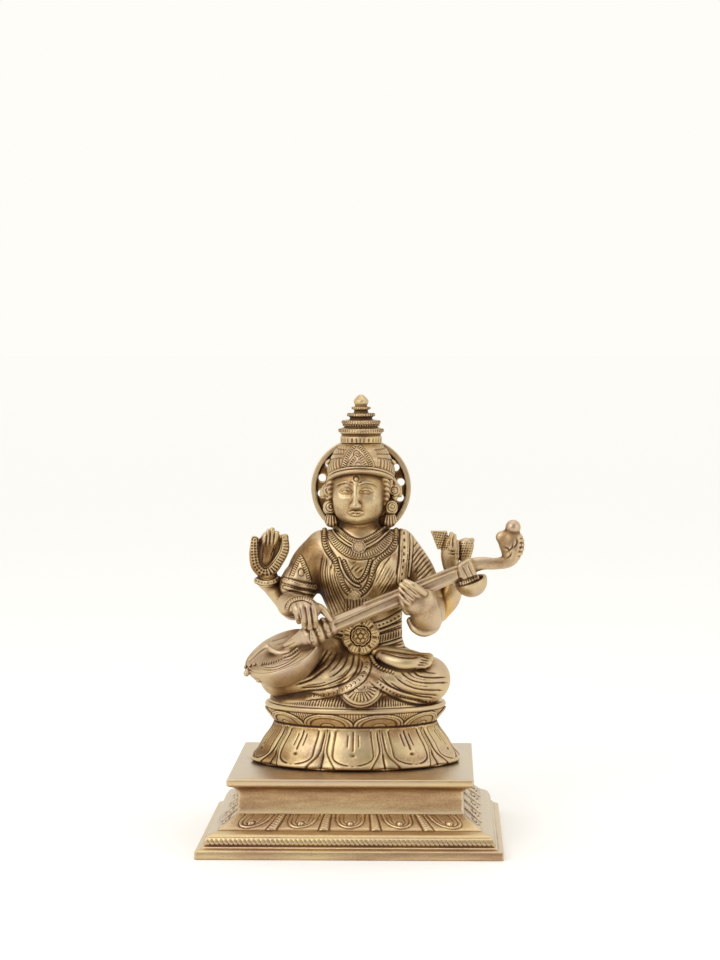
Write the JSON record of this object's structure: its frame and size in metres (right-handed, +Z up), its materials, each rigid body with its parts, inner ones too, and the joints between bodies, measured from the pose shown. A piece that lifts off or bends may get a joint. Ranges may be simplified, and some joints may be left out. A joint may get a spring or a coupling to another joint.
{
  "type": "saraswati figure",
  "caption": "Cast brass figure of a four-armed goddess seated on a lotus, playing a long-necked veena, before a pierced round halo, on a stepped rectangular plinth.",
  "frame": {"origin": "middle of the plinth's underside, on the surface it stands on", "axes": "+Z up through the crown, +X to the right of someone who faces the figure, -Y towards the front that the figure faces"},
  "size_m": [0.1852, 0.126, 0.2569],
  "materials": {
    "plinth_brass": "aged brown-gold brass, polished on the edges",
    "figure_brass": "aged golden brass, dark in the recesses"
  },
  "bodies": {
    "root": {"plinth": "plinth_brass", "figure": "figure_brass"}
  },
  "joints": []
}
